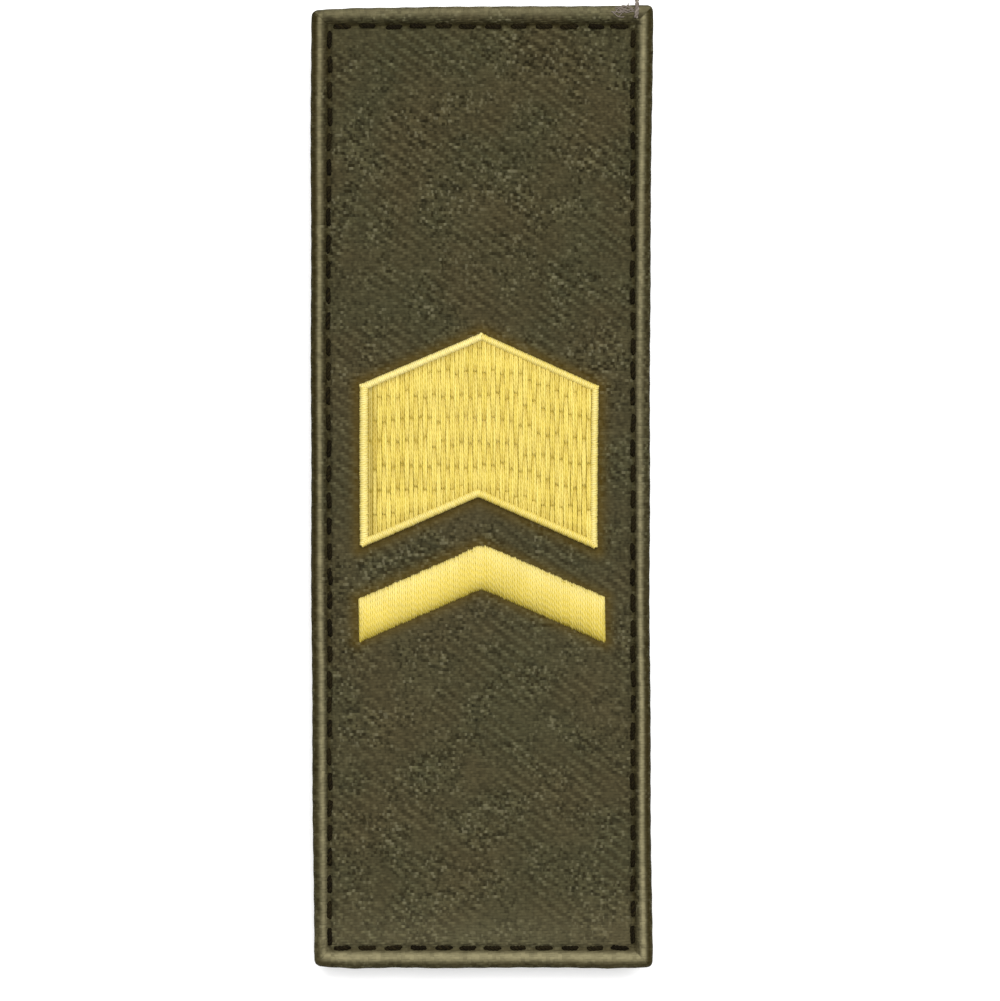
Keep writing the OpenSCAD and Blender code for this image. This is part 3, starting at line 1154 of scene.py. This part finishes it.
def sleeve_outer(section, y):
    """The outer face of the back cloth at one place along the slide. It eases up a little in slow
    waves, and where the hem's stitching pulls it in."""
    x, z, way_x, way_z = section.T
    row = 0.34 * dip(np.abs(y) - (sleeve_high[1] - HEM_STITCH), 0.5)
    level = z < 1
    waves = 0.09 * (1 + np.sin(y / 8.3 + 1.2 * np.sin(x / 6))) * level
    flare = 0.12 * eased(np.abs(y), HALF_L - 12, HALF_L - 4) * (1 - level)
    shift = row + waves - flare
    return np.column_stack([x + way_x * shift, np.full(len(x), y), z + way_z * shift])


def sew_sleeve(material):
    """Sleeve back: a closed sheet, doubled at its hems and where it is sewn under the face."""
    section = sleeve_section()
    ys = sleeve_levels()
    in_margin = np.abs(section[:, 0]) > sleeve_high[0] - MARGIN_W
    way = np.column_stack([section[:, 2], np.zeros(len(section)), section[:, 3]])
    outer, inner = [], []
    for y in ys:
        face = sleeve_outer(section, y)
        doubled = eased(np.abs(y), sleeve_high[1] - HEM_W - 0.3, sleeve_high[1] - HEM_W)
        thick = CLOTH_T + (DOUBLE_T - CLOTH_T) * np.maximum(in_margin, doubled)
        outer.append(face)
        inner.append(face + way * thick[:, None])
    outer, inner = np.array(outer), np.array(inner)
    rows, across = outer.shape[:2]
    grid = np.arange(rows * across).reshape(rows, across).T
    over = grid + rows * across
    edge = rim_of(grid)
    # The folded edge between the two faces stands out a little, half-way up
    both = np.concatenate([outer.reshape(-1, 3), inner.reshape(-1, 3)])
    middle = (both[edge] + both[edge + rows * across]) / 2
    out_x = np.isin(edge, np.concatenate([grid[0], grid[-1]])) * np.sign(middle[:, 0])
    out_y = np.isin(edge, np.concatenate([grid[:, 0], grid[:, -1]])) * np.sign(middle[:, 1])
    middle = middle + FOLD_OUT * np.column_stack([out_x, out_y, np.zeros(len(edge))])
    points = np.concatenate([both, middle])
    fold = 2 * rows * across + np.arange(len(edge))
    faces = walls_between([edge, fold, edge + rows * across])
    faces += quads_between(grid)[:, ::-1].tolist() + quads_between(over).tolist()
    run = section_run(section)
    flat = np.stack(np.broadcast_arrays(run[None, :], ys[:, None], 0.0), -1).reshape(-1, 3)
    stored = {"weave": np.concatenate([flat, flat, flat[edge]])}
    piece = make_piece("sleeve_cloth", points, faces, material, stored)
    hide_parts("sleeve_back")
    return piece


def margin_underside(x, y):
    """Height of the cloth that the edge stitches come out of underneath."""
    on_margin = (np.abs(y) < sleeve_high[1]) & (np.abs(x) > sleeve_high[0] - MARGIN_W)
    return np.where(on_margin, sleeve_high[2] - BACK_T, PANEL_Z + 0.06)


def hem_stitch_paths():
    """Path of each stitch of the rows that hold the sleeve's two hems."""
    section = sleeve_section()
    run = section_run(section)
    stitches = round((run[-1] - 2 * MARGIN_W) / STITCH_PITCH)
    t = np.linspace(-1, 1, 9)
    sink = 0.35 * eased(np.abs(t), 0.8, 1.0)
    paths = []
    for y in (HEM_STITCH - sleeve_high[1], sleeve_high[1] - HEM_STITCH):
        face = sleeve_outer(section, y)
        for i in range(stitches):
            middle = MARGIN_W + (i + 0.5) * (run[-1] - 2 * MARGIN_W) / stitches
            at = middle + t * STITCH_PITCH * STITCH_SHOWS / 2
            x, z = np.interp(at, run, face[:, 0]), np.interp(at, run, face[:, 2])
            way_x, way_z = np.interp(at, run, section[:, 2]), np.interp(at, run, section[:, 3])
            y_along = y + rng.normal(0, 0.05) + rng.normal(0, 0.05) * t
            paths.append(np.column_stack([x + way_x * sink, y_along, z + way_z * sink]))
    return np.array(paths)


def sew_back_seams(material):
    """Undersides of the edge stitches, and the stitches of the hems."""
    seams = Strands()
    edge_paths = edge_stitch_paths(margin_underside, rise=-0.08, bow=-0.03, sink=-0.4)
    seams.lay(edge_paths, width=0.44, thickness=0.36)
    seams.lay(hem_stitch_paths(), width=0.42, thickness=0.36)
    return seams.piece("back_stitching", material, "dark_edge_thread")


# Stage

# Size of the picture, the place of the slide's middle in it, and its scale
PICTURE_PX = (1000, 1001)
SLIDE_CENTRE_PX = (481.25, 486.75)
PIXELS_PER_MM = 6.79

WHITE = (1.0, 1.0, 1.0, 1.0)


def set_camera():
    """Looks straight down, with the slide where the picture has it."""
    lens = 300.0
    data = bpy.data.cameras.new("camera")
    data.lens = lens
    data.sensor_width = 36.0
    data.clip_start, data.clip_end = 0.05, 20.0
    camera = bpy.data.objects.new("camera", data)
    picture_mm = max(PICTURE_PX) / PIXELS_PER_MM
    aside = (PICTURE_PX[0] / 2 - SLIDE_CENTRE_PX[0]) / PIXELS_PER_MM
    ahead = (SLIDE_CENTRE_PX[1] - PICTURE_PX[1] / 2) / PIXELS_PER_MM
    height = panel_high[2] + picture_mm * lens / data.sensor_width
    camera.location = np.array([aside, ahead, height]) * MM
    bpy.context.scene.collection.objects.link(camera)
    bpy.context.scene.camera = camera


def soft_light(name, place, size, power):
    """A square light that faces the middle of the slide, sized in metres."""
    data = bpy.data.lights.new(name, "AREA")
    data.size = size
    data.energy = power
    light = bpy.data.objects.new(name, data)
    light.location = place
    light.rotation_mode = "QUATERNION"
    light.rotation_quaternion = light.location.to_track_quat("Z", "Y")
    bpy.context.scene.collection.objects.link(light)


def lay_floor():
    """White ground, lit through from below a little, as on a light table."""
    mesh = bpy.data.meshes.new("floor")
    side = 4.0
    corners = [(-side, -side, 0), (side, -side, 0), (side, side, 0), (-side, side, 0)]
    mesh.from_pydata(corners, [], [(0, 1, 2, 3)])
    pale = Finish("pale_floor")
    grain = pale.cloudy(pale.place(), 60.0, 4.0)
    colour = pale.blend(grain, (0.91, 0.91, 0.91, 1.0), (0.95, 0.95, 0.95, 1.0))
    glow = {"Emission Color": WHITE, "Emission Strength": 0.12}
    mesh.materials.append(pale.surface(colour, 0.9, pale.raised(grain, 0.00002), **glow))
    floor = bpy.data.objects.new("floor", mesh)
    bpy.context.scene.collection.objects.link(floor)


def set_lights():
    """An even white surround, a large light beyond the upper end and one overhead."""
    world = bpy.data.worlds.new("studio")
    world.use_nodes = True
    surround = world.node_tree.nodes["Background"].inputs
    surround["Color"].default_value = WHITE
    surround["Strength"].default_value = 0.4
    bpy.context.scene.world = world
    soft_light("key", (0.12, 0.57, 0.9), size=0.9, power=12.4)
    soft_light("top", (0.0, -0.1, 1.9), size=1.2, power=25.0)
    bpy.context.scene.view_settings.view_transform = "Standard"


set_camera()
lay_floor()
set_lights()
face_finish, back_finish = face_cloth_finish(), back_cloth_finish()
dark_thread = thread(
    "dark_edge_thread", (6, 5, 2), (15, 11, 4), (35, 29, 13), roughness=0.8, specular=0.05
)
fill_thread = thread(
    "yellow_fill_thread",
    (175, 152, 58),
    (194, 173, 71),
    (210, 192, 102),
    roughness=0.45,
    specular=0.35,
)
satin_thread = thread(
    "yellow_satin_thread",
    (164, 144, 36),
    (197, 175, 70),
    (216, 203, 138),
    roughness=0.4,
    specular=0.35,
)
frayed_yarn = thread(
    "frayed_yarn", (68, 60, 54), (98, 89, 82), (128, 119, 108), roughness=0.9, specular=0.1
)
sew_face_cloth(face_finish)
sew_sleeve(back_finish)
sew_edge_stitching(dark_thread)
pull_loose_yarn(frayed_yarn)
sew_back_seams(dark_thread)
stitch_filling(fill_thread)
stitch_border(satin_thread)
stitch_narrow(satin_thread)
